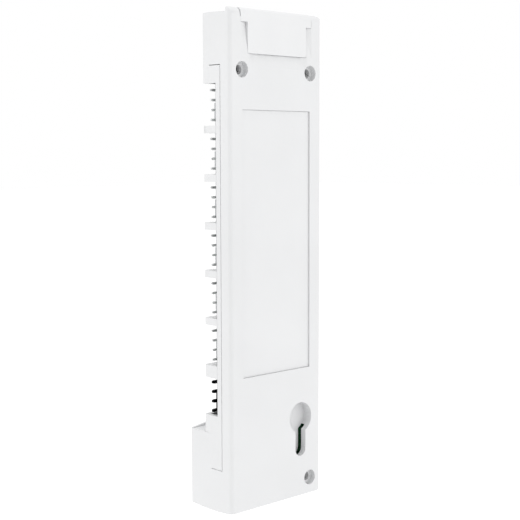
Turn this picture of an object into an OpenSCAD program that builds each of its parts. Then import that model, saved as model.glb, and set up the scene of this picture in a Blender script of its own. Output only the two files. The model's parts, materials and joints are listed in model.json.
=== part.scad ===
// Slim wall-hung battery back-up and distribution unit.
// +X is the terminal side, +Y points at the wall, -Y is the front, +Z is up.
// The origin lies on the wall plane at mid width, level with the end of the keyhole slot.

/* [Housing] */
// Width of the housing at its widest, on the line where the shells meet
body_w = 66.6; // [66.6:0.1:67.4]
// Height at the wall, from the bottom edge to the top of the rear lip
body_h = 258; // [258:0.5:260]
// Depth of the upper part, wall to front
upper_d = 21; // [20.6:0.1:22]
// Depth of the lower block, wall to front
base_d = 32.6; // [32:0.1:36]
// Depth of the line where the rear and front shells meet
split_d = 15.2; // [15:0.1:15.4]
// Height of the top face of the lower block
base_h = 40.2; // [40:0.1:41]
// Thickness of the shell walls
wall = 2.2; // [2:0.1:2.3]
// How far each side leans in from the split line to the back or front face
draft = 0.35; // [0.2:0.05:0.4]
// How far the bottom leans in from the split line
foot_draft = 0.85; // [0.6:0.05:1]
// Radius of the upright rear edges
rear_r = 2.2; // [1.8:0.1:2.2]
// Radius of the top edge at the wall
top_r = 4; // [3.8:0.1:4.2]
// Radius of the front edges
front_r = 1.5; // [1.2:0.1:1.8]
// Height of the rear lip above the rest of the top
lip_rise = 2.2; // [1.8:0.1:2.4]
// Thickness of the rear lip
lip_t = 3; // [3:0.1:3.2]

/* [Hanger flap] */
// Width of the tongue
tongue_w = 41.8; // [38:0.1:42]
// Middle of the tongue, measured from mid width
tongue_x = -0.5; // [-0.6:0.1:0]
// Height of the tongue's lower edge above the bottom
tongue_h = 235.3; // [234.5:0.1:236]
// Width across the hinge barrel
barrel_w = 50.4; // [50:0.1:50.6]
// Radius of the hinge barrel
barrel_r = 3; // [3:0.05:3.1]
// Thickness of the tongue
tongue_t = 2; // [1.8:0.1:2]
// Radius of the hinge pin
hinge_pin_r = 0.8; // [0.75:0.05:0.85]
// Radial clearance of the pin in the barrel
pin_gap = 0.06; // [0.03:0.01:0.08]

/* [Keyhole] */
// Distance of the keyhole from mid width, towards the plain side
keyhole_x = 17.4; // [17:0.1:17.8]
// Height of the centre of the round part above the bottom
keyhole_h = 42.9; // [42.5:0.1:43.5]
// Radius of the round part
keyhole_r = 8.3; // [8:0.1:8.5]
// Half width of the slot
slot_r = 3.8; // [3.6:0.05:3.9]
// Distance from the round part's centre to the slot's end centre
slot_run = 17.3; // [17:0.1:17.6]
// Thickness of the lip that a screw head slides behind
keyhole_lip = 3.3; // [3.1:0.1:3.4]
// Depth of the pocket floor
keyhole_d = 5.7; // [5.5:0.1:6]

/* [Terminal side] */
// Number of evenly spaced terminal bays, above the lowest one
even_bays = 6; // [6]
// Spacing of the even bays
bay_pitch = 24.63; // [24.6:0.01:24.65]
// Height of the middle of the top bay
top_bay_h = 209.6; // [209.3:0.1:209.8]
// Height of the middle of the lowest bay
low_bay_h = 59.6; // [59.4:0.1:59.7]
// Clear height of a bay between two ribs
bay_open = 20.9; // [20.7:0.1:21]
// Contact spacing in a header
pole_pitch = 5; // [4.95:0.01:5.08]
// Depth of the seam between the rear shell and the comb
comb_d = 6.9; // [6.7:0.1:7.1]
// Depth of the front edge of the comb's spine
spine_d = 10.3; // [10.2:0.1:10.4]
// Height of the comb's lower end
comb_lo_h = 21.7; // [21.4:0.1:22]
// Height of the comb's upper end
comb_hi_h = 229.3; // [228.6:0.1:229.6]
// Side of the square contact pins
contact_a = 1.3; // [1:0.1:1.4]
// Side of the stouter pins in the lowest header
low_contact_a = 1.7; // [1.4:0.1:1.8]

/* [Battery bay] */
// Width of the opening in the back
bay_w = 48.5; // [48:0.1:48.8]
// Height of the opening in the back
bay_h = 137.2; // [136:0.1:137.4]
// Height of the bay's lower edge above the bottom
bay_lo_h = 69.9; // [69.6:0.1:70]
// How far the cover lies below the back face
cover_sink = 0.8; // [0.7:0.1:1.1]
// Thickness of the cover
cover_t = 1.6; // [1.5:0.1:1.6]
// Thickness of one pouch cell
cell_t = 4.6; // [4.2:0.1:4.6]

/* [Fasteners] */
// Radius of the case screws' counterbores
cbore_r = 4.1; // [3.8:0.05:4.2]
// Depth of the counterbores
cbore_d = 3.1; // [2.9:0.1:3.3]
// Radius of the deeper screw wells
well_r = 2.45; // [2.4:0.05:2.5]
// Thread radius of the case screws
screw_r = 1.3; // [1.2:0.05:1.4]

/* [Hidden] */
$fn = 64;
eps = 0.02;
gap = 0.35;
end_seam = 0.2;

half_w = body_w / 2;
bottom_z = -(keyhole_h - slot_run);
low_z = bottom_z - foot_draft;
top_z = bottom_z + body_h;
roof_z = top_z - lip_rise;
seat_z = bottom_z + base_h;

plain_top_r = 4.5;
plain_foot_r = 6;
side_top_r = 2;
side_foot_r = 0.8;
inner_w = half_w - draft - wall;
floor_z = bottom_z + wall;
ceiling_z = roof_z - wall - 0.3;

board_y = -9.8;
board_t = 1.6;
board_back_y = board_y + board_t;

hinge_y = -barrel_r;
hinge_z = top_z - barrel_r;
shoulder_z = bottom_z + 250.8;
flap_lo_x = -barrel_w / 2;
flap_hi_x = barrel_w / 2;
barrel_gap = 0.3;
end_gap = 0.06;
tongue_lo_z = bottom_z + tongue_h;
tongue_pocket_d = tongue_t + 0.1;
pocket_lo_z = tongue_lo_z - 0.12;
ramp_d = 1.8;
ramp_edge_d = 0.04;
scoop_run = 11.6;
scoop_d = 1.5;
scoop_edge_d = 0.04;

key_x = -keyhole_x;
key_z = bottom_z + keyhole_h;

bay_zs = concat([for (i = [0 : even_bays - 1]) bottom_z + top_bay_h - i * bay_pitch], [bottom_z + low_bay_h]);
bay_top_z = bay_zs[0] + bay_open / 2 + 0.5;
low_open = bay_open - 1.3;
bay_bottom_z = bay_zs[even_bays] - low_open / 2;
cover_edge_x = 24.2;
spine_x = 30.6;

header_w = 19.4;
header_x0 = 17;
header_x1 = 26.4;
header_y1 = -17.4;
contact_y = -14.9;
contact_tip_x = half_w - draft - 0.2;

bay_lo_z = bottom_z + bay_lo_h;
bay_ring_t = 1.9;
bay_ledge = 1.7;
bay_ring_y = board_back_y + 0.4;
cell_h = 60.5;
cell_w = 44;
cell_y = -3;

screw_x = 24.5;
upper_screw_z = bottom_z + 227.1;
screw_pts = [[screw_x, upper_screw_z], [-screw_x, upper_screw_z], [-screw_x, bottom_z + 8.6]];
screw_head_y = -7.4;
boss_y = -9.5;
boss_r = 5.1;
post_r = 3.4;

main_lo_z = bottom_z + 48.5;
main_hi_z = bottom_z + 221;
power_lo_z = bottom_z + 14.2;
power_hi_z = bottom_z + 46.2;
board_x = 29.5;
main_screws = [for (x = [-22, -2]) for (h = [60, 213]) [x, bottom_z + h]];
power_screws = [for (x = [-4, 26]) for (h = [18, 42.2]) [x, bottom_z + h]];

button_x = -18;
button_z = bottom_z + 180;
button_r = 3.8;
button_stroke = 0.6;
fuse_x = [3, 20];
fuse_z = bottom_z + 16.6;
fuse_r = 2.2;
pipe_x = 12;
pipe_r = 1.5;
front_in_y = -(upper_d - wall);

// A box between two opposite corners
module block(lo, hi) {
    translate(lo) cube(hi - lo);
}

// A cylinder along Y from y_rear forward to y_front
module y_rod(x, z, y_rear, y_front, r) {
    translate([x, y_rear, z]) rotate([90, 0, 0]) cylinder(h = y_rear - y_front, r = r);
}

// A cylinder along X
module x_rod(x0, x1, y, z, r) {
    translate([x0, y, z]) rotate([0, 90, 0]) cylinder(h = x1 - x0, r = r);
}

// Extrudes an outline drawn in (Y, Z) along X
module along_x(x0, x1) {
    translate([x0, 0, 0]) rotate([90, 0, 90]) linear_extrude(height = x1 - x0) children();
}

// Plan outline of the housing, with rounded rear and front edges
module plan_outline(depth) {
    edge_w = half_w - draft;
    polygon([[-edge_w + rear_r, 0], [edge_w - rear_r, 0], [edge_w, -rear_r], [half_w, -split_d],
        [edge_w, -depth + front_r], [edge_w - front_r, -depth], [-edge_w + front_r, -depth],
        [-edge_w, -depth + front_r], [-half_w, -split_d], [-edge_w, -rear_r]]);
    for (s = [-1, 1]) {
        translate([s * (edge_w - rear_r), -rear_r]) circle(r = rear_r);
        translate([s * (edge_w - front_r), -depth + front_r]) circle(r = front_r);
    }
}

// What a round takes off the corner of an outline that points towards (sx, sy)
module corner_cut(x, y, sx, sy, r) {
    difference() {
        translate([min(x - sx * r, x + sx), min(y - sy * r, y + sy)]) square(r + 1);
        translate([x - sx * r, y - sy * r]) circle(r = r);
    }
}

// Outline seen from behind, with rounder corners on the plain side
module back_outline() {
    difference() {
        translate([-half_w, low_z]) square([body_w, top_z - low_z]);
        corner_cut(-half_w, low_z, -1, -1, plain_foot_r);
        corner_cut(-half_w, top_z, -1, 1, plain_top_r);
        corner_cut(half_w, low_z, 1, -1, side_foot_r);
        corner_cut(half_w, top_z, 1, 1, side_top_r);
    }
}

// Outline seen from the side: bottom and roof lean in from the split line, the rear lip stands up
module side_outline() {
    difference() {
        polygon([[0, bottom_z], [-split_d, low_z], [-upper_d, low_z + 0.3],
            [-upper_d, roof_z - front_r], [-upper_d + front_r, roof_z], [-split_d, roof_z + 0.1],
            [-lip_t, roof_z - 0.3], [-lip_t, top_z], [0, top_z]]);
        corner_cut(0, top_z, 1, 1, top_r);
    }
    translate([-upper_d + front_r, roof_z - front_r]) circle(r = front_r);
}

// The housing's outside between two depths
module envelope(y_rear, y_front) {
    intersection() {
        along_x(-half_w, half_w) side_outline();
        translate([0, 0, low_z]) linear_extrude(height = top_z - low_z) plan_outline(upper_d);
        rotate([90, 0, 0]) linear_extrude(height = upper_d) back_outline();
        block([-half_w - 1, y_front, low_z - 1], [half_w + 1, y_rear, top_z + 1]);
    }
}

// Keyhole outline: a round part of radius r with a round-ended slot below it
module keyhole(y_rear, y_front, r, grow) {
    y_rod(key_x, key_z, y_rear, y_front, r);
    y_rod(key_x, key_z - slot_run, y_rear, y_front, slot_r + grow);
    block([key_x - slot_r - grow, y_front, key_z - slot_run], [key_x + slot_r + grow, y_rear, key_z]);
}

// Solid around the keyhole: the thick lip, the round cup and the tongue that closes the slot's floor
module keyhole_cup() {
    floor_t = 1.2;
    pad = 3;
    undercut = 0.4;
    ring_t = 1.2;
    ring_lo_z = key_z - 5.4;
    keyhole(-wall + eps, -keyhole_lip, keyhole_r + pad, pad);
    difference() {
        y_rod(key_x, key_z, -keyhole_lip + eps, -keyhole_d - floor_t, keyhole_r + undercut + ring_t);
        y_rod(key_x, key_z, -keyhole_lip, -keyhole_d, keyhole_r + undercut);
        // The ring stops above the slot, so that a screw head can slide down behind the lip
        block([key_x - keyhole_r - pad, -keyhole_d - floor_t - 1, key_z - keyhole_r - pad],
            [key_x + keyhole_r + pad, -keyhole_lip, ring_lo_z]);
    }
    keyhole(-keyhole_d, -keyhole_d - floor_t, keyhole_r, 0);
}

// Everything that is cut out of the rear shell for the flap
module flap_recess() {
    lo = flap_lo_x - end_gap;
    hi = flap_hi_x + end_gap;
    side_gap = 0.1;
    wide_gap = 0.55;
    shoulder_gap = 0.12;
    trough_r = barrel_r + barrel_gap;
    t0 = tongue_x - tongue_w / 2 - side_gap;
    t1 = tongue_x + tongue_w / 2 + side_gap;
    slope_w = 5;
    x_rod(lo, hi, hinge_y, hinge_z, trough_r);
    // The barrel's upper part lies free, with a wider gap at its terminal end
    block([lo, hinge_y - trough_r, hinge_z], [hi, eps, top_z + 1]);
    block([flap_hi_x, hinge_y - trough_r, hinge_z - 1.8], [flap_hi_x + wide_gap, eps, top_z + 1]);
    block([lo, -tongue_pocket_d - 0.6, shoulder_z - shoulder_gap], [hi, eps, hinge_z]);
    block([t0, -tongue_pocket_d, pocket_lo_z], [t1, eps, shoulder_z]);
    // Ramps on both sides of the tongue, which sink upwards and towards it
    intersection() {
        along_x(flap_lo_x, flap_hi_x) polygon([[0, tongue_lo_z], [eps, tongue_lo_z], [eps, shoulder_z],
            [-ramp_d, shoulder_z]]);
        translate([0, 0, tongue_lo_z - 1]) linear_extrude(height = shoulder_z - tongue_lo_z + 1)
            polygon([[flap_lo_x, eps], [flap_lo_x, -ramp_edge_d], [t0, -ramp_d], [t1, -ramp_d],
                [flap_hi_x, -ramp_edge_d], [flap_hi_x, eps]]);
    }
    // Finger scoop below the tongue, which sinks smoothly up to its lower edge and from both sides
    scoop_steps = 8;
    intersection() {
        along_x(t0, t1) polygon(concat([[eps, pocket_lo_z + eps], [eps, pocket_lo_z - scoop_run]],
            [for (i = [0 : scoop_steps]) let (t = i / scoop_steps) [-scoop_d * t * t, pocket_lo_z - scoop_run * (1 - t)]],
            [[-scoop_d, pocket_lo_z + eps]]));
        translate([0, 0, pocket_lo_z - scoop_run]) linear_extrude(height = scoop_run + 1)
            polygon([[t0, eps], [t0, -scoop_edge_d], [t0 + slope_w, -scoop_d], [t1 - slope_w, -scoop_d],
                [t1, -scoop_edge_d], [t1, eps]]);
    }
}

module rear_shell() {
    color("white") difference() {
        union() {
            difference() {
                envelope(0, -split_d);
                block([-inner_w, -split_d - 1, floor_z], [inner_w, -wall, ceiling_z]);
            }
            // Block that holds the hinge trough and the floor of the tongue pocket
            block([flap_lo_x - 2.6, hinge_y - barrel_r - 2.4, shoulder_z - 2.4],
                [flap_hi_x + 2.6, -1, ceiling_z + 0.1]);
            block([flap_lo_x - 2.2, -tongue_pocket_d - 1.9, pocket_lo_z - 2], [flap_hi_x + 2, -1, shoulder_z]);
            // Walls around the battery bay
            block([-bay_w / 2 - bay_ring_t, bay_ring_y, bay_lo_z - bay_ring_t],
                [bay_w / 2 + bay_ring_t, -wall + eps, bay_lo_z + bay_h + bay_ring_t]);
            // Bosses around the case screws
            for (p = screw_pts) y_rod(p[0], p[1], -wall + eps, boss_y, boss_r);
            // Stand-offs behind the two boards
            for (p = concat(main_screws, power_screws)) y_rod(p[0], p[1], -wall + eps, board_back_y, 2.4);
            keyhole_cup();
        }
        flap_recess();
        // Opening for the battery cover, and the bay behind it
        block([-bay_w / 2, -cover_sink - cover_t, bay_lo_z],
            [bay_w / 2, eps, bay_lo_z + bay_h]);
        block([-bay_w / 2 + bay_ledge, -split_d, bay_lo_z + bay_ledge],
            [bay_w / 2 - bay_ledge, -cover_sink, bay_lo_z + bay_h - bay_ledge]);
        keyhole(eps, -keyhole_lip - eps, keyhole_r, 0);
        // Counterbores, wells and clearance holes of the case screws
        for (p = screw_pts) {
            y_rod(p[0], p[1], eps, -cbore_d, cbore_r);
            y_rod(p[0], p[1], -cbore_d + eps, screw_head_y, well_r);
            y_rod(p[0], p[1], screw_head_y + eps, boss_y - eps, screw_r + 0.2);
        }
        for (p = concat(main_screws, power_screws)) y_rod(p[0], p[1], -wall - 1, board_back_y - eps, 1);
        // Hinge pin seats in the cheeks
        x_rod(flap_lo_x - 2.6, flap_hi_x + 2.6, hinge_y, hinge_z, hinge_pin_r);
        // Side opening that the comb fills
        block([inner_w - 3, -split_d - 1, bottom_z + comb_lo_h - end_seam],
            [half_w + 1, -comb_d, bottom_z + comb_hi_h + gap]);
    }
}

module front_cover() {
    color("white") difference() {
        union() {
            difference() {
                intersection() {
                    envelope(-split_d, -upper_d);
                    block([-half_w, -upper_d, seat_z], [half_w, -split_d, top_z]);
                }
                block([-inner_w, front_in_y, seat_z - 1], [inner_w, -split_d + 1, ceiling_z]);
            }
            for (i = [0, 1]) y_rod(screw_pts[i][0], screw_pts[i][1], boss_y - 0.1, front_in_y - eps, post_r);
            y_rod(button_x, button_z, front_in_y + 1.4, front_in_y - eps, button_r + 2.4);
        }
        // The terminal bays stand open at the front corner
        block([cover_edge_x, -upper_d - 1, bay_bottom_z], [half_w + 1, -split_d + 1, bay_top_z]);
        for (i = [0, 1]) y_rod(screw_pts[i][0], screw_pts[i][1], boss_y, front_in_y + 0.6, screw_r);
        y_rod(button_x, button_z, front_in_y + 2, -upper_d - 1, button_r + 0.08);
        y_rod(button_x, button_z, front_in_y + 2, front_in_y, button_r + 1);
        for (z = bay_zs) y_rod(pipe_x, z, front_in_y + 1, -upper_d - 1, pipe_r);
    }
}

module lower_cover() {
    lip_h = 2.4;
    lip_w = 1.6;
    lip_run = 17;
    color("white") difference() {
        union() {
            difference() {
                intersection() {
                    along_x(-half_w, half_w) union() {
                        polygon([[-split_d, low_z], [-base_d + front_r, bottom_z],
                            [-base_d, bottom_z + front_r], [-base_d, seat_z + lip_h],
                            [-base_d + lip_w, seat_z + lip_h], [-base_d + lip_w, seat_z], [-split_d, seat_z]]);
                        translate([-base_d + front_r, bottom_z + front_r]) circle(r = front_r);
                    }
                    translate([0, 0, low_z]) linear_extrude(height = seat_z + lip_h - low_z) plan_outline(base_d);
                    rotate([90, 0, 0]) linear_extrude(height = base_d) back_outline();
                }
                block([-inner_w, -base_d + wall, floor_z], [inner_w, -split_d + 1, seat_z - wall]);
                block([-inner_w, front_in_y, floor_z], [inner_w, -split_d + 1, seat_z + 1]);
                // The lip slopes down to the terminal side
                translate([0, -upper_d, 0]) rotate([90, 0, 0]) linear_extrude(height = base_d - upper_d + 1)
                    polygon([[half_w, seat_z], [half_w + 1, seat_z], [half_w + 1, seat_z + lip_h + 1],
                        [half_w - lip_run, seat_z + lip_h + 1], [half_w - lip_run, seat_z + lip_h]]);
            }
            y_rod(screw_pts[2][0], screw_pts[2][1], boss_y - 0.1, -base_d + wall - eps, post_r);
        }
        y_rod(screw_pts[2][0], screw_pts[2][1], boss_y, -base_d + wall + 3, screw_r);
    }
}

module battery_cover() {
    edge_gap = 0.1;
    w = bay_w / 2 - edge_gap;
    color("white") difference() {
        block([-w, -cover_sink - cover_t, bay_lo_z + edge_gap], [w, -cover_sink, bay_lo_z + bay_h - edge_gap]);
        // Shallow field on the inside, which spares the cells
        block([-w + 4, -cover_sink - cover_t - eps, bay_lo_z + 4],
            [w - 4, -cover_sink - cover_t + 0.4, bay_lo_z + bay_h - 4]);
    }
}

// One divider of the comb, seen in plan, from the spine to the front
module rib_outline() {
    tip = 1;
    root = 0.5;
    polygon([[cover_edge_x + 0.2, -spine_d - 0.15], [spine_x, -spine_d - 0.15], [spine_x, -spine_d + root],
        [half_w - 0.15, -spine_d + root], [half_w - 0.15, -upper_d + tip + 0.6], [half_w - 0.6, -upper_d + tip],
        [half_w - 0.6 - tip, -upper_d], [cover_edge_x + 0.2, -upper_d]]);
}

module terminal_comb() {
    lo_z = bottom_z + comb_lo_h;
    hi_z = bottom_z + comb_hi_h;
    step_y = -11.5;
    color("white") intersection() {
        union() {
            block([spine_x, -spine_d, lo_z], [half_w, -comb_d - gap, hi_z]);
            block([spine_x, -split_d, bay_top_z], [half_w, -comb_d - gap, hi_z]);
            block([spine_x, step_y, lo_z], [half_w, -comb_d - gap, bay_bottom_z]);
            block([spine_x, -split_d, lo_z + 0.1], [half_w, step_y + eps, bay_bottom_z]);
            for (i = [0 : even_bays - 1]) {
                rib_hi = bay_zs[i] - bay_open / 2;
                rib_lo = bay_zs[i + 1] + (i + 1 < even_bays ? bay_open : low_open) / 2;
                translate([0, 0, rib_lo]) linear_extrude(height = rib_hi - rib_lo) rib_outline();
            }
        }
        translate([0, 0, lo_z]) linear_extrude(height = hi_z - lo_z) plan_outline(upper_d);
    }
}

module hanger_flap() {
    t0 = tongue_x - tongue_w / 2;
    t1 = tongue_x + tongue_w / 2;
    color("white") difference() {
        union() {
            x_rod(flap_lo_x, flap_hi_x, hinge_y, hinge_z, barrel_r);
            block([flap_lo_x, -tongue_t, shoulder_z], [flap_hi_x, 0, hinge_z]);
            block([t0, -tongue_t, tongue_lo_z], [t1, 0, hinge_z]);
        }
        x_rod(flap_lo_x - 1, flap_hi_x + 1, hinge_y, hinge_z, hinge_pin_r + pin_gap);
    }
}

module hinge_pin() {
    color("silver") x_rod(flap_lo_x - 2.4, flap_hi_x + 2.4, hinge_y, hinge_z, hinge_pin_r);
}

// Pan head with a cross recess, thread running towards the front
module pan_screw(x, z, y, head_r, head_t, thread_r, len) {
    difference() {
        union() {
            y_rod(x, z, y + head_t, y, head_r);
            y_rod(x, z, y + eps, y - len, thread_r);
        }
        for (a = [0, 90]) translate([x, y + head_t, z]) rotate([0, a, 0])
            cube([head_r * 1.1, 1.2, 0.5], center = true);
    }
}

module case_screws() {
    color("dimgray") for (p = screw_pts) pan_screw(p[0], p[1], screw_head_y, 2.2, 1.6, screw_r, 8.5);
}

// A board with holes for its screws
module board(lo_z, hi_z, right_x, holes) {
    difference() {
        block([-board_x, board_y, lo_z], [right_x, board_back_y, hi_z]);
        for (p = holes) y_rod(p[0], p[1], board_back_y + 1, board_y - 1, 1.15);
    }
}

module main_board() {
    color("darkgreen") board(main_lo_z, main_hi_z, board_x, main_screws);
}

module power_board() {
    color("darkgreen") board(power_lo_z, power_hi_z, board_x, power_screws);
}

module board_screws() {
    color("silver") for (p = concat(main_screws, power_screws))
        difference() {
            union() {
                y_rod(p[0], p[1], board_y, board_y - 1.6, 2.1);
                y_rod(p[0], p[1], board_back_y + 3, board_y - eps, 1);
            }
            for (a = [0, 90]) translate([p[0], board_y - 1.6, p[1]]) rotate([0, a, 0])
                cube([2.4, 1.2, 0.45], center = true);
        }
}

module board_link() {
    lo = bottom_z + 42.8;
    hi = bottom_z + 52;
    color("black") difference() {
        block([2, board_y - 3.4, lo], [16, board_y, hi]);
        block([3, board_y - 3.5, main_lo_z - 1.6], [15, board_y - 1.2, main_lo_z - 0.6]);
    }
}

// Plastic body of a four-way header for pins of side a, with a keying rib on its lower half
module header(z, a) {
    difference() {
        union() {
            block([header_x0, header_y1, z - header_w / 2], [header_x1, board_y, z + header_w / 2]);
            block([header_x1 - eps, header_y1, z - header_w / 2 + 1.6], [header_x1 + 1.5, header_y1 + 1.1, z + 1.2]);
            block([header_x1 - eps, -12.6, z - header_w / 2], [header_x1 + 1.5, board_y - 0.2, z + header_w / 2]);
        }
        for (i = [0 : 3]) {
            pz = z + (i - 1.5) * pole_pitch;
            block([header_x0 + 1, header_y1 - eps, pz - 1.6], [header_x1 - 3, header_y1 + 2, pz + 1.6]);
            block([header_x1 - 6, contact_y - a / 2, pz - a / 2], [header_x1 + 1, contact_y + a / 2, pz + a / 2]);
        }
    }
}

// The four contact pins of a header, of side a, pointing out of the side
module contacts(z, a) {
    h = a / 2;
    for (i = [0 : 3]) {
        pz = z + (i - 1.5) * pole_pitch;
        block([header_x1 - 6, contact_y - h, pz - h], [contact_tip_x - 0.6, contact_y + h, pz + h]);
        block([contact_tip_x - 0.62, contact_y - h + 0.25, pz - h + 0.25],
            [contact_tip_x, contact_y + h - 0.25, pz + h - 0.25]);
    }
}

module header_1() { color("darkgray") header(bay_zs[0], contact_a); }
module header_2() { color("darkgray") header(bay_zs[1], contact_a); }
module header_3() { color("darkgray") header(bay_zs[2], contact_a); }
module header_4() { color("darkgray") header(bay_zs[3], contact_a); }
module header_5() { color("darkgray") header(bay_zs[4], contact_a); }
module header_6() { color("darkgray") header(bay_zs[5], contact_a); }
module header_7() { color("black") header(bay_zs[6], low_contact_a); }
module contacts_1() { color("gray") contacts(bay_zs[0], contact_a); }
module contacts_2() { color("gray") contacts(bay_zs[1], contact_a); }
module contacts_3() { color("gray") contacts(bay_zs[2], contact_a); }
module contacts_4() { color("gray") contacts(bay_zs[3], contact_a); }
module contacts_5() { color("gray") contacts(bay_zs[4], contact_a); }
module contacts_6() { color("gray") contacts(bay_zs[5], contact_a); }
module contacts_7() { color("black") contacts(bay_zs[6], low_contact_a); }

// A pouch cell: the swollen middle and the thin sealed rim at its upper end
module pouch(z) {
    block([-cell_w / 2, cell_y - cell_t, z], [cell_w / 2, cell_y, z + cell_h - 3]);
    block([-cell_w / 2, cell_y - cell_t / 2 - 0.3, z + cell_h - 3 - eps],
        [cell_w / 2, cell_y - cell_t / 2 + 0.3, z + cell_h]);
}

cell_z1 = bay_lo_z + 2.5;
cell_z2 = cell_z1 + cell_h + 0.6;

module lower_cell() {
    color("silver") pouch(cell_z1);
}

module upper_cell() {
    color("silver") pouch(cell_z2);
}

module cell_tabs() {
    mid_y = cell_y - cell_t / 2;
    tab_t = 0.3;
    color("gainsboro") {
        // Leads of the upper cell, up to the protection board
        for (x = [-10, 10]) block([x - 2, mid_y + 0.3, cell_z2 + cell_h - 2],
            [x + 2, mid_y + 0.3 + tab_t, cell_z2 + cell_h + 3]);
        // Strap from the lower cell's leads, over the face of the upper cell
        block([-14, cell_y, cell_z1 + cell_h - 2.5], [-6, cell_y + 0.15, cell_z2 + 4]);
    }
}

module cell_pad() {
    color("gray") block([-18, board_back_y, cell_z1 + 6], [18, cell_y - cell_t, cell_z2 + cell_h - 9]);
}

module protection_board() {
    z0 = cell_z2 + cell_h + 1.4;
    color("darkgreen") block([-20, -6.9, z0], [20, -5.9, z0 + 7.4]);
    color("black") for (x = [-12, -4, 4, 12]) block([x - 2, -5.9, z0 + 2.2], [x + 2, -4.9, z0 + 6]);
}

module battery_socket() {
    z0 = bottom_z + 196;
    color("ivory") difference() {
        block([-27, board_y - 5, z0], [-17, board_y, z0 + 7]);
        block([-26, board_y - 5.1, z0 + 1], [-18, board_y - 1.5, z0 + 6]);
    }
}

module controller_chip() {
    z0 = bottom_z + 150;
    color("black") difference() {
        block([-15, board_y - 1.4, z0], [-1, board_y, z0 + 14]);
        y_rod(-13.4, z0 + 12.4, board_y - 1.3, board_y - 1.5, 0.6);
    }
}

module channel_switches() {
    color("black") for (i = [0 : even_bays - 1]) block([1, board_y - 4.5, bay_zs[i] - 5], [8, board_y, bay_zs[i] + 5]);
}

module status_leds() {
    color("lightyellow") for (z = bay_zs) {
        block([pipe_x - 1.6, board_y - 0.6, z - 0.9], [pipe_x + 1.6, board_y, z + 0.9]);
        y_rod(pipe_x, z, board_y - 0.6 + eps, board_y - 1.1, 0.8);
    }
}

module light_pipes() {
    color("whitesmoke") for (z = bay_zs) {
        y_rod(pipe_x, z, board_y - 1.6, -upper_d, pipe_r);
        y_rod(pipe_x, z, front_in_y + 0.8, front_in_y, pipe_r + 0.6);
    }
}

module power_button() {
    color("lightgray") {
        y_rod(button_x, button_z, front_in_y + 0.9, -upper_d - button_stroke, button_r);
        y_rod(button_x, button_z, front_in_y + 0.9, front_in_y + 0.03, button_r + 0.8);
        y_rod(button_x, button_z, board_y - 4.2, front_in_y + 0.8, 1.8);
    }
}

module button_switch() {
    color("black") block([button_x - 3, board_y - 3.5, button_z - 3], [button_x + 3, board_y, button_z + 3]);
}

module relay() {
    color("royalblue") block([-27, board_y - 15.5, bottom_z + 18], [-12, board_y, bottom_z + 37]);
}

module filter_capacitors() {
    r = 4.5;
    neck_r = 4.1;
    color("midnightblue") for (p = [[-4, 28], [8, 33], [8, 23.8]]) {
        y_rod(p[0], bottom_z + p[1], board_y, board_y - 0.8, r);
        y_rod(p[0], bottom_z + p[1], board_y - 0.8 + eps, board_y - 1.6, neck_r);
        y_rod(p[0], bottom_z + p[1], board_y - 1.6 + eps, board_y - 16, r);
    }
}

module power_inductor() {
    color("saddlebrown") translate([21, board_y - 4.3, bottom_z + 30]) rotate([90, 0, 0])
        rotate_extrude() translate([5.2, 0]) circle(r = 2.6);
}

module fuse() {
    color("lightcyan") x_rod(fuse_x[0], fuse_x[1], board_y - 3.6, fuse_z, fuse_r);
}

module fuse_clips() {
    color("silver") for (x = fuse_x) difference() {
        block([x - 2.2, board_y - 6.4, fuse_z - fuse_r], [x + 2.2, board_y, fuse_z + fuse_r]);
        x_rod(x - 3, x + 3, board_y - 3.6, fuse_z, fuse_r - 0.6);
        x_rod(fuse_x[0], fuse_x[1], board_y - 3.6, fuse_z, fuse_r);
        block([x - 3, board_y - 7, fuse_z - 1], [x + 3, board_y - 3.6, fuse_z + 1]);
    }
}

rear_shell();
front_cover();
lower_cover();
battery_cover();
terminal_comb();
hanger_flap();
hinge_pin();
case_screws();
main_board();
power_board();
board_screws();
board_link();
header_1();
header_2();
header_3();
header_4();
header_5();
header_6();
header_7();
contacts_1();
contacts_2();
contacts_3();
contacts_4();
contacts_5();
contacts_6();
contacts_7();
upper_cell();
lower_cell();
cell_tabs();
cell_pad();
protection_board();
battery_socket();
controller_chip();
channel_switches();
status_leds();
light_pipes();
power_button();
button_switch();
relay();
filter_capacitors();
power_inductor();
fuse();
fuse_clips();
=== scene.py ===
"""Looks for a slim wall battery unit: white shells, terminals, screws, cells and boards."""

import json
import math

import bmesh
import bpy
from mathutils import Matrix, Vector


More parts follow.
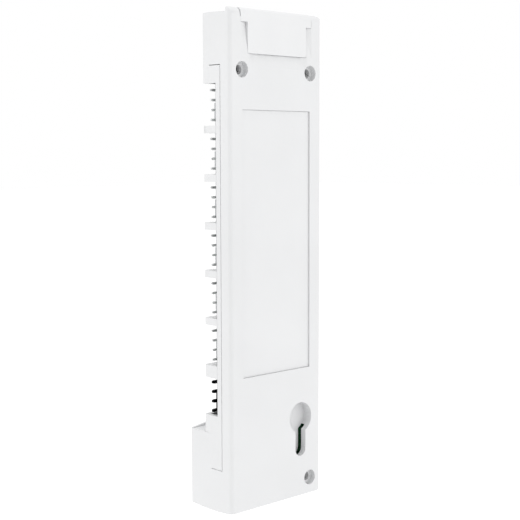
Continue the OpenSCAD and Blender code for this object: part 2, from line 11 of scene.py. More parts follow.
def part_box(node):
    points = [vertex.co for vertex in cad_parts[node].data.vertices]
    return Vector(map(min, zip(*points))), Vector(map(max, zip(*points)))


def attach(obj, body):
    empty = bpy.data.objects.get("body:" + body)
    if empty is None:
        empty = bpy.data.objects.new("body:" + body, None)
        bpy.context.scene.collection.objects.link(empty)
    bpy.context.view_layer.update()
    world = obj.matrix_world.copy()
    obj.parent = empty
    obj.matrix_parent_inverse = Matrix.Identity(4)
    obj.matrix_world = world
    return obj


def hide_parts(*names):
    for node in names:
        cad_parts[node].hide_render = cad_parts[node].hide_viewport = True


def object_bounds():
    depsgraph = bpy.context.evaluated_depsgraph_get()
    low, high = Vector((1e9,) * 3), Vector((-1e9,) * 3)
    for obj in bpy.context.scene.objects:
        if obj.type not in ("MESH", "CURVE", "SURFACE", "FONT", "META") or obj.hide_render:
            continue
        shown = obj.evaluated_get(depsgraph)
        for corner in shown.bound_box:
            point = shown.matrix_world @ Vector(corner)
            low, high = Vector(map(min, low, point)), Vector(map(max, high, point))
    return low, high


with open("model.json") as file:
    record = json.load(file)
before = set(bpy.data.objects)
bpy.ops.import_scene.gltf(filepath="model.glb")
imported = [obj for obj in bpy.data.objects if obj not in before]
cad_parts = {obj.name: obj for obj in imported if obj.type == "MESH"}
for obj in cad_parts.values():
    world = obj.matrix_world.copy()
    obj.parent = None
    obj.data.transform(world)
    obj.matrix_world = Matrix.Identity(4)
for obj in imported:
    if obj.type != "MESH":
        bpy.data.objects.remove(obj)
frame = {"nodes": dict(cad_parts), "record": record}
nodes = frame["nodes"]
cad_low, cad_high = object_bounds()

# One millimetre, in the frame's metres
MM = 0.001
BODY_OF = {n: b for b, ns in frame["record"]["behaviour"]["bodies"].items() for n in ns}
SLOT_OF = {s["node"]: s["material_slot"] for s in frame["record"]["subparts"]}


# ---------------------------------------------------------------- camera

CAMERA_AZIMUTH = 136.594
CAMERA_ELEVATION = 5.379
CAMERA_ROLL = -0.154
CAMERA_DISTANCE = 0.6055
CAMERA_LENS = 79.25
AIM_SIDE = -1.557 * MM
AIM_DEPTH = -10 * MM
AIM_X = 0.85 * MM
AIM_HEIGHT_SHARE = 0.4998
SENSOR_WIDTH = 36
CLIP_START = 0.01
# How far the shell's foot slopes below its back edge
FOOT_DRAFT = 0.85 * MM


def make_camera():
    """A camera behind the unit, on its terminal side, a little above mid height."""
    a = math.radians(CAMERA_AZIMUTH)
    e = math.radians(CAMERA_ELEVATION)
    r = math.radians(CAMERA_ROLL)
    back = Vector((math.sin(a) * math.cos(e), -math.cos(a) * math.cos(e), math.sin(e)))
    right = Vector((math.cos(a), math.sin(a), 0))
    up = back.cross(right)
    turned_right = right * math.cos(r) + up * math.sin(r)
    turned_up = up * math.cos(r) - right * math.sin(r)
    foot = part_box("rear_shell")[0].z + FOOT_DRAFT
    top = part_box("hanger_flap")[1].z
    aim = Vector((AIM_X, AIM_DEPTH, foot + (top - foot) * AIM_HEIGHT_SHARE)) + right * AIM_SIDE
    camera = bpy.data.objects.new("camera", bpy.data.cameras.new("camera"))
    camera.data.lens = CAMERA_LENS
    camera.data.sensor_width = SENSOR_WIDTH
    camera.data.clip_start = CLIP_START
    rotation = Matrix((turned_right, turned_up, back)).transposed().to_4x4()
    camera.matrix_world = Matrix.Translation(aim + back * CAMERA_DISTANCE) @ rotation
    bpy.context.scene.collection.objects.link(camera)
    bpy.context.scene.camera = camera


make_camera()


# ---------------------------------------------------------------- studio

FLOOR_DROP = 0.12
FLOOR_HALF = 8
FLOOR_GLOW = 0.12
WORLD_STRENGTH = 1.0
SOFT_BOX_SIZE = 1.2
# Each soft box's name, place and power
LIGHTS = (
    ("side_box", (1.35, -1.0, 0.7), 3.7),
    ("back_box", (-1.0, 1.35, 0.7), 4.1),
    ("top_box", (0, -0.15, 1.6), 6),
)


def make_stage():
    """A white floor, well below the unit, which hangs in the air as on a wall."""
    bm = bmesh.new()
    z = cad_low.z - FLOOR_DROP
    corners = [bm.verts.new((sx * FLOOR_HALF, sy * FLOOR_HALF, z))
               for sx, sy in ((-1, -1), (1, -1), (1, 1), (-1, 1))]
    bm.faces.new(corners)
    mesh = bpy.data.meshes.new("floor")
    bm.to_mesh(mesh)
    bm.free()
    floor = bpy.data.objects.new("floor", mesh)
    bpy.context.scene.collection.objects.link(floor)
    material = bpy.data.materials.new("floor_white")
    material.use_nodes = True
    shader = material.node_tree.nodes["Principled BSDF"]
    shader.inputs["Base Color"].default_value = (0.95, 0.95, 0.95, 1)
    shader.inputs["Roughness"].default_value = 0.9
    shader.inputs["Emission Color"].default_value = (1, 1, 1, 1)
    shader.inputs["Emission Strength"].default_value = FLOOR_GLOW
    mesh.materials.append(material)


def make_world(strength):
    """An even white surround."""
    world = bpy.data.worlds.new("studio")
    bpy.context.scene.world = world
    world.use_nodes = True
    background = world.node_tree.nodes["Background"]
    background.inputs["Color"].default_value = (1, 1, 1, 1)
    background.inputs["Strength"].default_value = strength


def make_area(name, position, aim, size, power):
    """A square soft box."""
    light = bpy.data.lights.new(name, "AREA")
    light.size = size
    light.energy = power
    lamp = bpy.data.objects.new(name, light)
    lamp.location = position
    lamp.rotation_euler = (Vector(aim) - Vector(position)).to_track_quat("-Z", "Y").to_euler()
    bpy.context.scene.collection.objects.link(lamp)


make_stage()
make_world(WORLD_STRENGTH)
middle = (cad_low + cad_high) / 2
for name, place, power in LIGHTS:
    make_area(name, place, middle, SOFT_BOX_SIZE, power)
bpy.context.scene.view_settings.view_transform = "Standard"


# ---------------------------------------------------------------- materials

class Finish:
    """A Principled material that is built up from procedural layers in object space."""

    def __init__(self, name, colour, roughness, metallic=0.0, **sockets):
        self.material = bpy.data.materials.new(name)
        self.material.use_nodes = True
        self.tree = self.material.node_tree
        self.shader = self.tree.nodes["Principled BSDF"]
        self.colour = colour
        self.shader.inputs["Base Color"].default_value = (*colour, 1)
        self.shader.inputs["Roughness"].default_value = roughness
        self.shader.inputs["Metallic"].default_value = metallic
        for socket, value in sockets.items():
            self.shader.inputs[socket.replace("_", " ")].default_value = value
        self.where = self.tree.nodes.new("ShaderNodeTexCoord").outputs["Object"]
        self.height = None

    def link(self, a, b):
        self.tree.links.new(a, b)

    def stretched(self, stretch):
        """Object coordinates, scaled along each axis."""
        mapping = self.tree.nodes.new("ShaderNodeMapping")
        mapping.inputs["Scale"].default_value = stretch
        self.link(self.where, mapping.inputs["Vector"])
        return mapping.outputs["Vector"]

    def noise(self, size, detail=3.0, stretch=(1, 1, 1)):
        """Noise whose features are about that many metres across."""
        node = self.tree.nodes.new("ShaderNodeTexNoise")
        node.inputs["Scale"].default_value = 1 / size
        node.inputs["Detail"].default_value = detail
        self.link(self.stretched(stretch), node.inputs["Vector"])
        return node.outputs["Fac"]

    def cells(self, size):
        """Closed cells about that many metres across, as distance from each cell's middle."""
        node = self.tree.nodes.new("ShaderNodeTexVoronoi")
        node.inputs["Scale"].default_value = 1 / size
        self.link(self.where, node.inputs["Vector"])
        return node.outputs["Distance"]

    def remap(self, value, low, high, to_low, to_high):
        """The value, moved from one range to another and held within it."""
        node = self.tree.nodes.new("ShaderNodeMapRange")
        sockets = ("From Min", "From Max", "To Min", "To Max")
        for socket, v in zip(sockets, (low, high, to_low, to_high)):
            node.inputs[socket].default_value = v
        self.link(value, node.inputs["Value"])
        return node.outputs["Result"]

    def tint(self, value, low, high, other):
        """Runs the colour towards another one as value goes from low to high."""
        node = self.tree.nodes.new("ShaderNodeMix")
        node.data_type = "RGBA"
        base = self.shader.inputs["Base Color"]
        if base.is_linked:
            self.link(base.links[0].from_socket, node.inputs["A"])
        else:
            node.inputs["A"].default_value = (*self.colour, 1)
        node.inputs["B"].default_value = (*other, 1)
        self.link(self.remap(value, low, high, 0, 1), node.inputs["Factor"])
        self.link(node.outputs["Result"], base)

    def rough(self, value, low, high, smooth, dull):
        """Roughness from smooth to dull as value goes from low to high."""
        self.link(self.remap(value, low, high, smooth, dull), self.shader.inputs["Roughness"])

    def bump(self, value, distance, strength=1.0):
        """Adds a relief of that many metres on top of the earlier ones."""
        node = self.tree.nodes.new("ShaderNodeBump")
        node.inputs["Distance"].default_value = distance
        node.inputs["Strength"].default_value = strength
        self.link(value, node.inputs["Height"])
        if self.height:
            self.link(self.height, node.inputs["Normal"])
        self.height = node.outputs["Normal"]
        self.link(self.height, self.shader.inputs["Normal"])


def darker(colour, by):
    """The colour with that share of it taken away."""
    return tuple(c * (1 - by) for c in colour)


def moulded(name, colour, roughness, grain=0.35 * MM, relief=0.006 * MM, drift=0.03):
    """Moulded plastic: spark-eroded grain, a slow drift in tone, and slightly uneven gloss."""
    finish = Finish(name, colour, roughness, Specular_IOR_Level=0.4)
    finish.tint(finish.noise(45 * MM, 2), 0.35, 0.7, darker(colour, drift))
    finish.rough(finish.noise(9 * MM, 4), 0.3, 0.7, roughness - 0.05, roughness + 0.06)
    finish.bump(finish.noise(grain, 2), relief, 0.6)
    finish.bump(finish.noise(14 * MM, 2), 0.02 * MM, 0.25)
    return finish.material


def metal(name, colour, roughness, brushed=(1, 1, 1), relief=0.003 * MM, metallic=1.0):
    """Drawn or plated metal with fine lines along the squeezed axis, and a few dull spots."""
    finish = Finish(name, colour, roughness, metallic=metallic)
    finish.tint(finish.noise(1.6 * MM, 4), 0.52, 0.75, darker(colour, 0.25))
    finish.rough(finish.noise(0.5 * MM, 4, brushed), 0.3, 0.7, roughness - 0.08, roughness + 0.12)
    finish.bump(finish.noise(0.12 * MM, 3, brushed), relief, 0.7)
    return finish.material


def laminate(name, colour):
    """Solder-masked board: the weave of the glass cloth and the tracks under the mask."""
    finish = Finish(name, colour, 0.35, Coat_Weight=0.4, Coat_Roughness=0.15)
    weave_x = finish.tree.nodes.new("ShaderNodeTexWave")
    weave_z = finish.tree.nodes.new("ShaderNodeTexWave")
    for wave, direction in ((weave_x, "X"), (weave_z, "Z")):
        wave.bands_direction = direction
        wave.inputs["Scale"].default_value = 0.32 / MM
        finish.link(finish.where, wave.inputs["Vector"])
        finish.bump(wave.outputs["Fac"], 0.004 * MM, 0.4)
    tracks = finish.tree.nodes.new("ShaderNodeTexBrick")
    tracks.inputs["Scale"].default_value = 0.09 / MM
    tracks.inputs["Mortar Size"].default_value = 0.03
    tracks.inputs["Color1"].default_value = (0, 0, 0, 1)
    tracks.inputs["Color2"].default_value = (0.15, 0.15, 0.15, 1)
    tracks.inputs["Mortar"].default_value = (1, 1, 1, 1)
    turn = finish.tree.nodes.new("ShaderNodeMapping")
    turn.inputs["Rotation"].default_value = (math.radians(90), 0, 0)
    finish.link(finish.where, turn.inputs["Vector"])
    finish.link(turn.outputs["Vector"], tracks.inputs["Vector"])
    finish.tint(tracks.outputs["Color"], 0, 1, tuple(min(1, c * 1.7 + 0.02) for c in colour))
    finish.tint(finish.noise(6 * MM, 3), 0.45, 0.8, darker(colour, 0.3))
    return finish.material


def foil(name, colour):
    """Laminated pouch foil: soft creases and a satin sheen that changes along the sheet."""
    finish = Finish(name, colour, 0.38, metallic=1.0)
    finish.tint(finish.noise(12 * MM, 4), 0.4, 0.75, darker(colour, 0.15))
    finish.rough(finish.noise(4 * MM, 4, (1, 1, 4)), 0.3, 0.7, 0.28, 0.48)
    finish.bump(finish.noise(5 * MM, 3, (1, 1, 0.35)), 0.12 * MM, 0.6)
    finish.bump(finish.noise(0.4 * MM, 2), 0.006 * MM, 0.4)
    return finish.material


def foam(name, colour):
    """Closed-cell foam: a skin of small cells."""
    finish = Finish(name, colour, 0.95, Sheen_Weight=0.2, Sheen_Roughness=0.5)
    finish.tint(finish.cells(0.7 * MM), 0.1, 0.6, darker(colour, 0.45))
    finish.rough(finish.noise(3 * MM), 0.3, 0.7, 0.88, 1.0)
    finish.bump(finish.cells(0.7 * MM), 0.15 * MM, 0.8)
    return finish.material


def winding(name, colour):
    """Enamelled copper wire: glossy lacquer over a warm metal, darker where it is thick."""
    finish = Finish(name, colour, 0.25, metallic=1.0, Coat_Weight=0.8, Coat_Roughness=0.08)
    finish.tint(finish.noise(0.8 * MM, 3), 0.45, 0.75, darker(colour, 0.35))
    finish.rough(finish.noise(0.6 * MM), 0.3, 0.7, 0.2, 0.34)
    finish.bump(finish.noise(0.5 * MM, 2), 0.01 * MM, 0.5)
    return finish.material


def clear(name, colour, roughness, transmission, haze):
    """Clear or frosted moulding with faint flow marks."""
    finish = Finish(name, colour, roughness, Transmission_Weight=transmission, IOR=1.49)
    finish.tint(finish.noise(2 * MM, 2), 0.4, 0.8, darker(colour, 0.06))
    finish.rough(finish.noise(0.8 * MM, 3), 0.3, 0.7, roughness, roughness + haze)
    finish.bump(finish.noise(1.5 * MM, 2, (1, 0.3, 1)), 0.01 * MM, 0.4)
    return finish.material


WHITE = (0.69, 0.694, 0.7)
# The pins' drawing lines run along X
PIN_LINES = (0.2, 1, 1)
finishes = {
    "housing_white": moulded("housing_white", WHITE, 0.42),
    # The flap is the housing's white, made a touch lighter: painted light for the light its face
    # catches
    "flap_white": moulded("flap_white", (0.71, 0.714, 0.72), 0.4),
    "cover_white": moulded("cover_white", (0.695, 0.699, 0.705), 0.36, relief=0.004 * MM),
    "comb_white": moulded("comb_white", WHITE, 0.44),
    "header_grey": moulded("header_grey", (0.5, 0.51, 0.52), 0.5, 0.2 * MM, 0.008 * MM, 0.06),
    "header_black": moulded("header_black", (0.012, 0.012, 0.013), 0.48, 0.2 * MM, 0.008 * MM, 0.3),
    # One grey pin metal three times over: painted shade, painted half light and painted full light
    "contact_grey": metal("contact_grey", (0.52, 0.525, 0.53), 0.5, PIN_LINES, metallic=0.5),
    "contact_grey_painted_half_lit": metal("contact_grey_painted_half_lit", (0.78, 0.785, 0.79), 0.5, PIN_LINES,
                              metallic=0.5),
    "contact_grey_painted_lit": metal("contact_grey_painted_lit", (0.93, 0.932, 0.935), 0.5, PIN_LINES,
                                metallic=0.5),
    "contact_black": metal("contact_black", (0.008, 0.008, 0.009), 0.55, PIN_LINES),
    "steel": metal("steel", (0.6, 0.61, 0.63), 0.3, (0.15, 1, 1)),
    "blackened_steel": metal("blackened_steel", (0.03, 0.03, 0.032), 0.42),
    "board_green": laminate("board_green", (0.012, 0.11, 0.035)),
    "black_plastic": moulded("black_plastic", (0.016, 0.016, 0.018), 0.5, 0.25 * MM, 0.008 * MM,
                             0.3),
    "ivory_plastic": moulded("ivory_plastic", (0.66, 0.6, 0.45), 0.4, 0.25 * MM, 0.004 * MM, 0.06),
    "cell_foil": foil("cell_foil", (0.66, 0.67, 0.69)),
    "tab_metal": metal("tab_metal", (0.68, 0.66, 0.6), 0.28, (1, 1, 0.2)),
    "foam_grey": foam("foam_grey", (0.085, 0.1, 0.11)),
    "led_clear": clear("led_clear", (0.95, 0.9, 0.6), 0.12, 0.6, 0.1),
    "light_guide": clear("light_guide", (0.93, 0.94, 0.95), 0.3, 0.35, 0.15),
    "button_grey": moulded("button_grey", (0.42, 0.43, 0.45), 0.38, 0.25 * MM, 0.004 * MM, 0.05),
    "relay_blue": moulded("relay_blue", (0.01, 0.05, 0.26), 0.25, 0.6 * MM, 0.003 * MM, 0.1),
    "sleeve_blue": moulded("sleeve_blue", (0.006, 0.012, 0.05), 0.2, 0.8 * MM, 0.004 * MM, 0.2),
    "copper_wire": winding("copper_wire", (0.62, 0.22, 0.07)),
    "fuse_glass": clear("fuse_glass", (0.9, 0.95, 0.95), 0.03, 0.95, 0.03),
}


# ---------------------------------------------------------------- mesh tools

# Points this close are one point: in a built mesh, and in a CAD mesh
WELD = 0.0005 * MM
CAD_WELD = 0.001 * MM
# Faces of a CAD mesh that meet at less than this are one flat face
FLAT_DEGREES = 0.5
# A point this close to a plane lies on it
NEAR = 0.02 * MM
# A step in a turned profile, so short that the face across it looks flat
STEP = 0.01 * MM


def put(name, bm, node, finish=None, stands_for=True, sharp=35):
    """Turns a bmesh into a piece that rides with a CAD node's body and may stand for that node."""
    bmesh.ops.remove_doubles(bm, verts=bm.verts, dist=WELD)
    bmesh.ops.recalc_face_normals(bm, faces=bm.faces)
    mesh = bpy.data.meshes.new(name)
    bm.to_mesh(mesh)
    bm.free()
    for p in mesh.polygons:
        p.use_smooth = True
    mesh.set_sharp_from_angle(angle=math.radians(sharp))
    for material in finish or [finishes[SLOT_OF[node]]]:
        mesh.materials.append(material)
    obj = bpy.data.objects.new(name, mesh)
    bpy.context.scene.collection.objects.link(obj)
    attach(obj, BODY_OF[node])
    if stands_for:
        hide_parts(node)
    return obj


def cad_mesh(node):
    """A node's CAD mesh in the shared frame, with each point there once."""
    bm = bmesh.new()
    bm.from_mesh(nodes[node].data)
    bm.transform(nodes[node].matrix_world)
    bmesh.ops.remove_doubles(bm, verts=bm.verts, dist=CAD_WELD)
    return bm


def copy_of(node):
    """A node's CAD mesh in the shared frame, with the triangles of each flat face joined."""
    bm = cad_mesh(node)
    bmesh.ops.dissolve_limit(bm, angle_limit=math.radians(FLAT_DEGREES), verts=bm.verts,
                             edges=bm.edges)
    return bm


def soften(node, width, segments=2, sharp=32):
    """A copy of a CAD node with small rounds on its edges, apart from where the shells meet."""
    bm = copy_of(node)
    split_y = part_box("rear_shell")[0].y
    front_y, seat_z = (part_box("front_cover")[0][i] for i in (1, 2))
    if node == "lower_cover":
        # Its side edges are cut at the upper cover's front, where the seat's seam ends
        bmesh.ops.bisect_plane(bm, geom=bm.verts[:] + bm.edges[:] + bm.faces[:], dist=CAD_WELD,
                               plane_co=(0, front_y, 0), plane_no=(0, 1, 0))
    weight = bm.edges.layers.float.new("bevel_weight_edge")
    for e in bm.edges:
        on_split = all(abs(v.co.y - split_y) < NEAR for v in e.verts)
        on_seat = node.endswith("_cover") and all(
            abs(v.co.z - seat_z) < NEAR and v.co.y > front_y - NEAR for v in e.verts)
        if e.calc_face_angle(0) > math.radians(sharp) and not on_split and not on_seat:
            e[weight] = 1
    obj = put(node + "_soft", bm, node, sharp=sharp)
    bevel = obj.modifiers.new("rounds", "BEVEL")
    bevel.width = width
    bevel.segments = segments
    bevel.limit_method = "WEIGHT"
    normals = obj.modifiers.new("flat faces stay flat", "WEIGHTED_NORMAL")
    normals.keep_sharp = True
    normals.weight = 100


def islands(node):
    """(low, high) corners of each separate solid of a node, from the top down."""
    bm = cad_mesh(node)
    seen, found = set(), []
    for start in bm.verts:
        if start in seen:
            continue
        seen.add(start)
        group, queue = [], [start]
        while queue:
            v = queue.pop()
            group.append(v.co.copy())
            for e in v.link_edges:
                other = e.other_vert(v)
                if other not in seen:
                    seen.add(other)
                    queue.append(other)
        found.append(tuple(Vector(pick(p[i] for p in group) for i in range(3))
                           for pick in (min, max)))
    bm.free()
    return sorted(found, key=lambda corners: -corners[1].z)


def loft(bm, rings, material=0):
    """A closed skin over rings of points, with a flat face on both ends."""
    loops = [[bm.verts.new(p) for p in ring] for ring in rings]
    faces = [bm.faces.new(list(reversed(loops[0]))), bm.faces.new(loops[-1])]
    for a, b in zip(loops, loops[1:]):
        for i in range(len(a)):
            j = (i + 1) % len(a)
            faces.append(bm.faces.new((a[i], a[j], b[j], b[i])))
    for f in faces:
        f.material_index = material


def lathe(bm, centre, axis, profile, material=0, steps=48):
    """A turned solid: profile is a list of (distance along the axis, radius)."""
    axis = Vector(axis).normalized()
    side = axis.orthogonal().normalized()
    other = axis.cross(side)
    rings = []
    for along, r in profile:
        rings.append([
            Vector(centre) + axis * along + (side * math.cos(a) + other * math.sin(a)) * r
            for a in (math.tau * k / steps for k in range(steps))])
    loft(bm, rings, material)


def round_over(start, end, r, depth, steps=5):
    """Profile points of a quarter round: radius r shrinks by depth from start to end."""
    return [(start + (end - start) * math.sin(t), r - depth * (1 - math.cos(t)))
            for t in (math.pi / 2 * k / steps for k in range(steps + 1))]


def rounded_ring(place, half_u, half_v, r, steps=4):
    """Points round a rectangle with rounded corners; place(u, v) puts each one in space."""
    points = []
    for quarter, (su, sv) in enumerate(((1, 1), (-1, 1), (-1, -1), (1, -1))):
        for k in range(steps + 1):
            a = math.pi / 2 * (quarter + k / steps)
            points.append(place(su * (half_u - r) + r * math.cos(a),
                                sv * (half_v - r) + r * math.sin(a)))
    return points


def tube(bm, path, r, sides=8, material=0):
    """A round wire along a closed path."""
    count = len(path)
    loops = []
    for i, p in enumerate(path):
        along = (path[(i + 1) % count] - path[i - 1]).normalized()
        side = along.orthogonal() if i == 0 else side - along * side.dot(along)
        side.normalize()
        other = along.cross(side)
        loops.append([bm.verts.new(p + (side * math.cos(a) + other * math.sin(a)) * r)
                      for a in (math.tau * k / sides for k in range(sides))])
    # The rings turn on their way round, so the last one joins the first at the nearest point
    shift = min(range(sides), key=lambda k: (loops[0][k].co - loops[-1][0].co).length)
    for i in range(count):
        a, b = loops[i], loops[(i + 1) % count]
        turn = shift if i == count - 1 else 0
        for k in range(sides):
            face = bm.faces.new((a[k], a[(k + 1) % sides],
                                 b[(k + 1 + turn) % sides], b[(k + turn) % sides]))
            face.material_index = material


# ---------------------------------------------------------------- shells and other moulded parts

# Each node's edge radius in millimetres, and the segments of the round
SOFTENED = {
    "rear_shell": (0.2, 3), "front_cover": (0.3, 3), "lower_cover": (0.35, 3),
    "battery_cover": (0.04, 1), "terminal_comb": (0.2, 2), "hanger_flap": (0.2, 3),
    "case_screws": (0.12, 2), "board_link": (0.2, 2), "main_board": (0.1, 1),
    "power_board": (0.1, 1), "board_screws": (0.1, 2), "cell_pad": (0.5, 3),
    "protection_board": (0.1, 1), "battery_socket": (0.25, 2), "controller_chip": (0.15, 2),
    "channel_switches": (0.3, 2), "status_leds": (0.15, 3), "button_switch": (0.25, 2),
    "relay": (0.6, 3), "fuse_clips": (0.08, 1),
}
HEADERS = 7
SOFTENED.update({"header_%d" % i: (0.15, 2) for i in range(1, HEADERS + 1)})
for node, (width, segments) in SOFTENED.items():
    soften(node, width * MM, segments)


# ---------------------------------------------------------------- contact pins

# The four pins of a grey bay, from the top down: one grey metal in painted shade and painted light,
# darkest on the first pin and lightest on the third
PIN_PAINTED_LIGHT_STEPS = [finishes["contact_grey"], finishes["contact_grey_painted_half_lit"],
             finishes["contact_grey_painted_lit"], finishes["contact_grey_painted_half_lit"]]
PIN_TIP = 1.5 * MM
PIN_EDGE = 0.3 * MM
# How wide the blunt end is, as a share of the pin
PIN_END = 0.35


def contact_pins(node, tones):
    """Square pins with rounded edges, each drawn out to a blunt point."""
    bm = bmesh.new()
    for i, (lo, hi) in enumerate(islands(node)):
        middle_y, middle_z, half = (lo.y + hi.y) / 2, (lo.z + hi.z) / 2, (hi.z - lo.z) / 2
        # Each station is a place along the pin and the share of its width there
        stations = [(lo.x, 1.0), (hi.x - PIN_TIP, 1.0)]
        stations += [(hi.x - PIN_TIP * (1 - math.sin(t)), PIN_END + (1 - PIN_END) * math.cos(t))
                     for t in (math.pi / 2 * k / 5 for k in range(1, 6))]
        rings = [rounded_ring(lambda u, v: Vector((x, middle_y + u, middle_z + v)),
                              half * s, half * s, PIN_EDGE * s)
                 for x, s in stations]
        loft(bm, rings, min(i, len(tones) - 1))
    put(node + "_pins", bm, node, tones, sharp=50)


for i in range(1, HEADERS):
    contact_pins("contacts_%d" % i, PIN_PAINTED_LIGHT_STEPS)
contact_pins("contacts_%d" % HEADERS, [finishes["contact_black"]])


# ---------------------------------------------------------------- turned parts

FRONT_WALL = 2.2 * MM
COLLAR_EDGE = 0.1 * MM
# Inside face of the upper cover's front wall
front_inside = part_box("front_cover")[0].y + FRONT_WALL


def hinge_pin():
    """A plain pin with chamfered ends."""
    lo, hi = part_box("hinge_pin")
    r, length, chamfer = (hi.z - lo.z) / 2, hi.x - lo.x, 0.3 * MM
    bm = bmesh.new()
    lathe(bm, (lo.x, (lo.y + hi.y) / 2, (lo.z + hi.z) / 2), (1, 0, 0),
          [(0, r - chamfer), (chamfer, r), (length - chamfer, r), (length, r - chamfer)])
    put("hinge_pin_turned", bm, "hinge_pin")


def light_pipes():
    """Frosted rods with a collar inside the cover and a softly rounded front end."""
    collar, collar_out, edge = 0.8 * MM, 0.6 * MM, 0.35 * MM
    bm = bmesh.new()
    for lo, hi in islands("light_pipes"):
        x, z, wide = (lo.x + hi.x) / 2, (lo.z + hi.z) / 2, (hi.x - lo.x) / 2
        r = wide - collar_out
        length = hi.y - lo.y
        front = hi.y - front_inside
        back = front - collar
        profile = [(0, r - edge), (edge, r), (back, r), (back + STEP, wide - COLLAR_EDGE),
                   (back + COLLAR_EDGE, wide), (front - STEP, wide), (front, r)]
        profile += round_over(length - edge, length, r, edge)
        lathe(bm, (x, hi.y, z), (0, -1, 0), profile)
    put("light_pipes_turned", bm, "light_pipes")


def power_button():
    """A dished cap with a rounded rim, its collar and its stem."""
    lo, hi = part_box("power_button")
    x, z, wide = (lo.x + hi.x) / 2, (lo.z + hi.z) / 2, (hi.x - lo.x) / 2
    collar_out, rim, dish, dish_end = 0.8 * MM, 0.5 * MM, 0.35 * MM, 0.05 * MM
    cap_r = wide - collar_out
    length, stem_r, stem_edge = hi.y - lo.y, 1.8 * MM, 0.3 * MM
    collar, collar_lip, collar_gap = 0.87 * MM, 0.07 * MM, 0.9 * MM
    back = hi.y - (front_inside + collar_gap)
    profile = [(0, stem_r - stem_edge), (stem_edge, stem_r), (back, stem_r),
               (back + STEP, wide - COLLAR_EDGE), (back + COLLAR_EDGE, wide),
               (back + collar - collar_lip, wide), (back + collar, wide - COLLAR_EDGE / 2),
               (back + collar + STEP, cap_r)]
    profile += round_over(length - rim, length, cap_r, rim)
    profile += [(length - dish * math.sin(math.pi / 2 * k / 6),
                 (cap_r - rim) * (1 - k / 6) + dish_end)
                for k in range(1, 7)]
    bm = bmesh.new()
    lathe(bm, (x, hi.y, z), (0, -1, 0), profile, steps=64)
    put("power_button_cap", bm, "power_button", sharp=45)


def filter_capacitors():
    """Sleeved cans with a crimped neck, a rounded top and a bare metal end."""
    bm = bmesh.new()
    neck, neck_at, neck_run = 0.4 * MM, 0.8 * MM, 0.8 * MM
    foot, edge = 0.2 * MM, 0.5 * MM
    plate, plate_in, plate_edge = 0.4 * MM, 1.1 * MM, 1.3 * MM
    for lo, hi in islands("filter_capacitors"):
        x, z, r = (lo.x + hi.x) / 2, (lo.z + hi.z) / 2, (hi.x - lo.x) / 2
        length = hi.y - lo.y
        groove = [(neck_at + neck_run * k / 6, r - neck * math.sin(math.pi * k / 6))
                  for k in range(7)]
        sleeve = [(0, r - foot), (foot, r)] + groove
        sleeve += round_over(length - edge, length, r, edge)
        lathe(bm, (x, hi.y, z), (0, -1, 0), sleeve)
        lathe(bm, (x, lo.y + plate, z), (0, -1, 0),
              [(0, r - plate_in), (plate - 2 * STEP, r - plate_in), (plate, r - plate_edge)],
              material=1)
    put("filter_capacitor_cans", bm, "filter_capacitors",
        [finishes["sleeve_blue"], finishes["tab_metal"]])


def power_inductor():
    """A ring core under one layer of enamelled wire."""
    lo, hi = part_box("power_inductor")
    middle = (lo + hi) / 2
    turns, wire_r, per_turn = 30, 0.42 * MM, 18
    tube_r = (hi.y - lo.y) / 2
    ring_r = (hi.x - lo.x) / 2 - tube_r
    bm = bmesh.new()

    def on_ring(around, about, r):
        """A point at one angle round the ring and another about the tube's middle."""
        out = ring_r + r * math.cos(about)
        return middle + Vector((out * math.cos(around), r * math.sin(about),
                                out * math.sin(around)))

    steps = turns * per_turn
    path = [on_ring(math.tau * k / steps, math.tau * turns * k / steps, tube_r - wire_r)
            for k in range(steps)]
    tube(bm, path, wire_r)
    core, sides = 60, 16
    core_r = tube_r - 2 * wire_r
    loops = [[bm.verts.new(on_ring(math.tau * i / core, math.tau * k / sides, core_r))
              for k in range(sides)]
             for i in range(core)]
    for i in range(core):
        a, b = loops[i], loops[(i + 1) % core]
        for k in range(sides):
            face = bm.faces.new((a[k], a[(k + 1) % sides], b[(k + 1) % sides], b[k]))
            face.material_index = 1
    put("power_inductor_winding", bm, "power_inductor",
        [finishes["copper_wire"], finishes["black_plastic"]])


def fuse():
    """A clear rod for the fuse's glass, with pressed end caps that it reaches into."""
    lo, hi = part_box("fuse")
    r, length, cap = (hi.z - lo.z) / 2, hi.x - lo.x, 4.6 * MM
    start = Vector((lo.x, (lo.y + hi.y) / 2, (lo.z + hi.z) / 2))
    glass, ends = bmesh.new(), bmesh.new()
    glass_r, into_cap = r - 0.25 * MM, 1 * MM
    round_r, round_mid = 0.4 * MM, 0.12 * MM
    lip, lip_in = 0.1 * MM, 0.2 * MM
    lathe(glass, start, (1, 0, 0),
          [(cap - into_cap, glass_r), (length - cap + into_cap, glass_r)])
    for at, way in ((start, 1), (start + Vector((length, 0, 0)), -1)):
        lathe(ends, at, (way, 0, 0),
              [(0, r - round_r), (round_mid, r - round_mid), (round_r, r),
               (cap, r), (cap + lip, r - lip_in)])
    put("fuse_tube", glass, "fuse")
    put("fuse_caps", ends, "fuse", [finishes["tab_metal"]], stands_for=False)


for build in (hinge_pin, light_pipes, power_button, filter_capacitors, power_inductor, fuse):
    build()


# ---------------------------------------------------------------- pouch cells

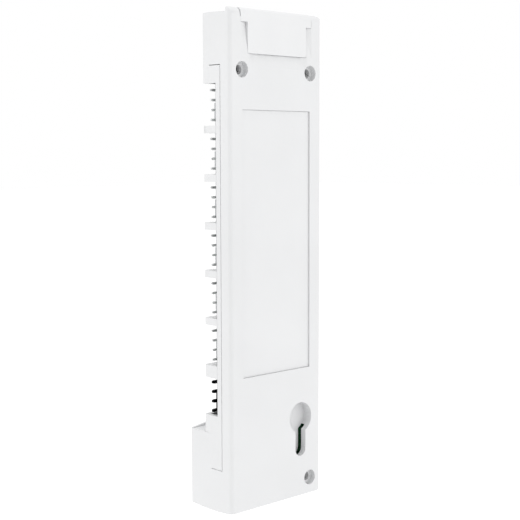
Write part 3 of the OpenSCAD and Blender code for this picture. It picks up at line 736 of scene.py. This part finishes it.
def pouch_cell(node):
    """A foil pouch: flat in the middle, round towards its sides, with a thin rim on top."""
    lo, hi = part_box(node)
    rim_h, rim_half, rim_foot, rim_edge = 3 * MM, 0.3 * MM, 0.2 * MM, 0.1 * MM
    middle_x, half_x = (lo.x + hi.x) / 2, (hi.x - lo.x) / 2
    middle_y, half_t = (lo.y + hi.y) / 2, (hi.y - lo.y) / 2
    across, along = 28, 40
    body_top = hi.z - rim_h
    bm = bmesh.new()

    def swell(u, v):
        """The share of the full thickness at u across and v along, each from -1 to 1."""
        return ((1 - abs(u) ** 10) * (1 - abs(v) ** 14)) ** 0.5

    def sheet(side):
        """One side of the pouch, as rows of points from the bottom up."""
        rows = []
        for j in range(along + 1):
            v = math.sin(math.pi / 2 * (2 * j / along - 1))
            z = (lo.z + body_top) / 2 + v * (body_top - lo.z) / 2
            row = []
            for i in range(across + 1):
                u = math.sin(math.pi / 2 * (2 * i / across - 1))
                bulge = rim_half * 0.5 + (half_t - rim_half * 0.5) * swell(u, v)
                row.append(bm.verts.new((middle_x + u * half_x, middle_y + side * bulge, z)))
            rows.append(row)
        for z in (body_top + rim_foot, hi.z - rim_edge, hi.z):
            thin = rim_half * (0.5 if z < hi.z else 0.3)
            rows.append([bm.verts.new((v.co.x, middle_y + side * thin, z)) for v in rows[along]])
        for a, b in zip(rows, rows[1:]):
            for i in range(across):
                bm.faces.new((a[i], a[i + 1], b[i + 1], b[i]))
        return rows

    def rim_of(rows):
        """The points round the edge of a sheet, in order."""
        right, left = [row[-1] for row in rows[1:]], [row[0] for row in rows[-2:0:-1]]
        return rows[0] + right + rows[-1][-2::-1] + left

    rear, front = rim_of(sheet(1)), rim_of(sheet(-1))
    for i in range(len(rear)):
        j = (i + 1) % len(rear)
        bm.faces.new((rear[i], rear[j], front[j], front[i]))
    put(node + "_pouch", bm, node, sharp=50)


pouch_cell("upper_cell")
pouch_cell("lower_cell")


# ---------------------------------------------------------------- finish

# The CAD nodes get their finishes too, because the cell tabs are shown as they are
for name, node in nodes.items():
    node.data.materials.clear()
    node.data.materials.append(finishes[SLOT_OF[name]])
